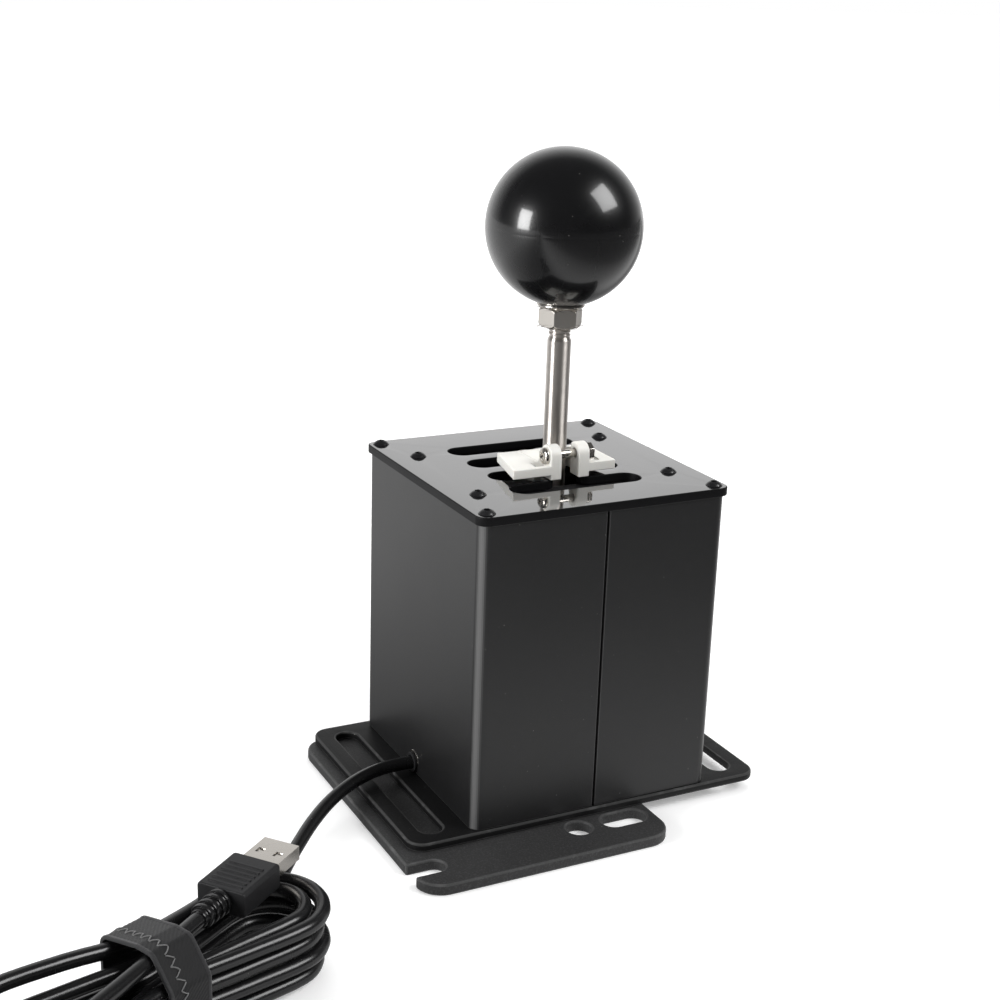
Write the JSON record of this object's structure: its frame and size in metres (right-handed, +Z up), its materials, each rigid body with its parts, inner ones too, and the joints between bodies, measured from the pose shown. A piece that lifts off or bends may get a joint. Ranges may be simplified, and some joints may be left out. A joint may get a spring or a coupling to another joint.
{
  "type": "sim racing gear shifter",
  "caption": "Gated gear shifter for driving simulators: ball-topped lever on a two-axis pivot in a box with a slotted gate plate, nylon slider, flanged base and USB lead.",
  "frame": {"origin": "underside of the mounting plate, below the middle of the housing", "axes": "+Z up along the lever, +X to the right along the housing's front face, +Y to the rear"},
  "size_m": [0.2891, 0.1799, 0.2257],
  "materials": {
    "plate_steel": "satin",
    "case_steel": "satin",
    "gate_gloss": "mirror",
    "screw_black": "satin",
    "nylon_white": "satin",
    "steel": "satin",
    "chrome": "polished",
    "alloy": "satin",
    "knob_gloss": "gloss",
    "rail_plastic": "matte",
    "board_green": "satin",
    "brass": "satin",
    "cord_black": "satin",
    "strap_black": "matte"
  },
  "bodies": {
    "housing": {"mounting_plate": "plate_steel", "base_plate": "plate_steel", "left_shell": "case_steel", "right_shell": "case_steel", "gate_plate": "gate_gloss", "corner_screws": "screw_black", "gate_screws": "screw_black", "base_screws": "screw_black", "left_rail": "rail_plastic", "right_rail": "rail_plastic", "pivot_bracket": "alloy", "bracket_screws": "screw_black", "select_pins": "steel", "sensor_board": "board_green", "controller_board": "board_green", "board_posts": "brass", "board_screws": "steel", "cord_grommet": "cord_black", "cord_clamp": "rail_plastic", "cord_lead": "cord_black", "cord_hank": "cord_black", "cord_tie": "strap_black", "plug_relief": "cord_black", "plug_body": "cord_black", "plug_shell": "chrome"},
    "gimbal": {"gimbal": "alloy", "shift_axle": "steel"},
    "lever": {"lever_foot": "alloy", "lever_rod": "chrome", "jam_nut": "chrome", "knob": "knob_gloss", "knob_insert": "steel", "foot_magnet": "chrome"},
    "shutter": {"dust_shutter": "rail_plastic"},
    "slider": {"yoke": "nylon_white", "yoke_screw": "steel", "yoke_nut": "steel"}
  },
  "joints": [
    {"name": "select", "type": "hinge", "parent": "housing", "child": "gimbal", "pos_m": [0, -0.008, 0.024], "axis": [1, 0, 0], "range_deg": [-19.3, 9.9], "stiffness_Nm_per_rad": 2},
    {"name": "shift", "type": "hinge", "parent": "gimbal", "child": "lever", "pos_m": [0, -0.008, 0.024], "axis": [0, 1, 0], "range_deg": [-10.5, 10.5]},
    {"name": "shutter_slide", "type": "slide", "parent": "housing", "child": "shutter", "axis": [0, 1, 0], "range_m": [-0.0172, 0.0334]},
    {"name": "slider_slide", "type": "slide", "parent": "shutter", "child": "slider", "axis": [1, 0, 0], "range_m": [-0.0183, 0.0183]}
  ],
  "couplings": [
    {"joint": "shutter_slide", "follows": "select", "m_per_rad": -0.0983},
    {"joint": "slider_slide", "follows": "shift", "m_per_rad": 0.099}
  ]
}
